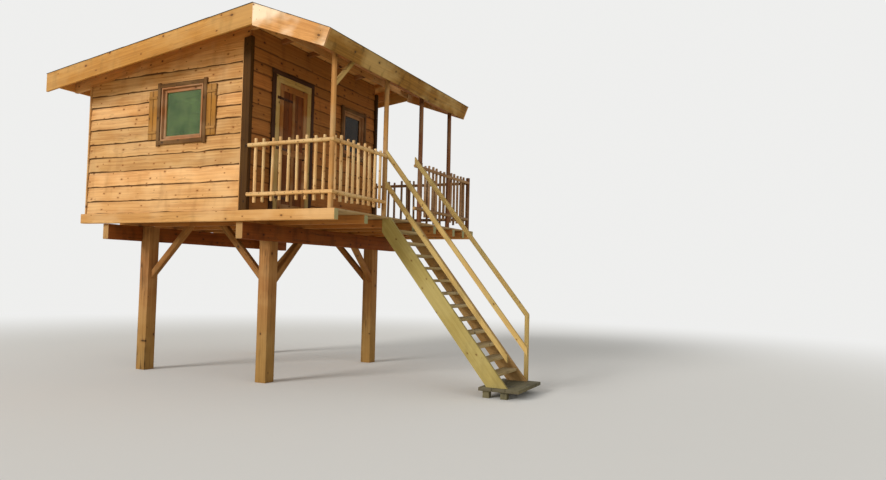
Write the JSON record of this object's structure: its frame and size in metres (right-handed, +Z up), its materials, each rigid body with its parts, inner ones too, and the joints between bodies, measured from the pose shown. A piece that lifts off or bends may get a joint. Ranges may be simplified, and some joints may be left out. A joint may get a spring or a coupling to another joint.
{
  "type": "tree house",
  "caption": "Timber tree house: a lap-sided cabin and roofed porch on a raised deck with notched posts, knee braces, pole railings and a steep open stair.",
  "frame": {"origin": "on the ground, under the middle of the outline", "axes": "+X towards the porch front and the foot of the stair, +Y from the near wall with the window to the far wall with the walkway, +Z up"},
  "size_m": [7.586, 5.108, 5.328],
  "materials": {
    "old_pine": "oiled, weathered",
    "dark_timber": "dark stain",
    "new_pine": "planed, pale",
    "shaded_timber": "red-brown stain",
    "pole_wood": "peeled poles",
    "glass": "clear",
    "ironwork": "black, matt",
    "felt": "mineral roofing felt"
  },
  "bodies": {
    "house": {"posts": "old_pine", "beams": "shaded_timber", "knee_braces": "old_pine", "joists": "old_pine", "deck_boards": "old_pine", "near_wall": "old_pine", "far_wall": "old_pine", "back_wall": "old_pine", "front_wall_by_corner": "shaded_timber", "front_wall_over_door": "shaded_timber", "front_wall_by_window": "shaded_timber", "corner_posts": "dark_timber", "side_window_frame": "dark_timber", "side_window_pane": "glass", "side_window_shutters": "shaded_timber", "porch_window_frame": "dark_timber", "porch_window_pane": "glass", "door_trim": "dark_timber", "door_frame": "shaded_timber", "hinge_plates": "ironwork", "cabin_rafters": "old_pine", "porch_rafters": "old_pine", "ridge_board": "old_pine", "roof_boards": "old_pine", "roofing": "felt", "near_rake_boards": "old_pine", "far_rake_boards": "old_pine", "front_eave_board": "old_pine", "back_eave_board": "old_pine", "porch_header": "old_pine", "porch_posts": "pole_wood", "porch_brace": "old_pine", "near_railing": "pole_wood", "front_railing_by_corner": "pole_wood", "front_railing_by_stair": "pole_wood", "walkway_railing": "pole_wood", "walkway_end_railing": "pole_wood", "near_stringer": "new_pine", "far_stringer": "new_pine", "treads": "new_pine", "stair_foot": "new_pine", "near_stair_rails": "new_pine", "far_stair_rail": "new_pine"},
    "door": {"door_leaf": "shaded_timber", "door_hardware": "ironwork"}
  },
  "joints": [
    {"name": "door_swing", "type": "hinge", "parent": "house", "child": "door", "pos_m": [0.042, -1.409, 3.56], "axis": [0, 0, -1], "range_deg": [0, 150]}
  ]
}
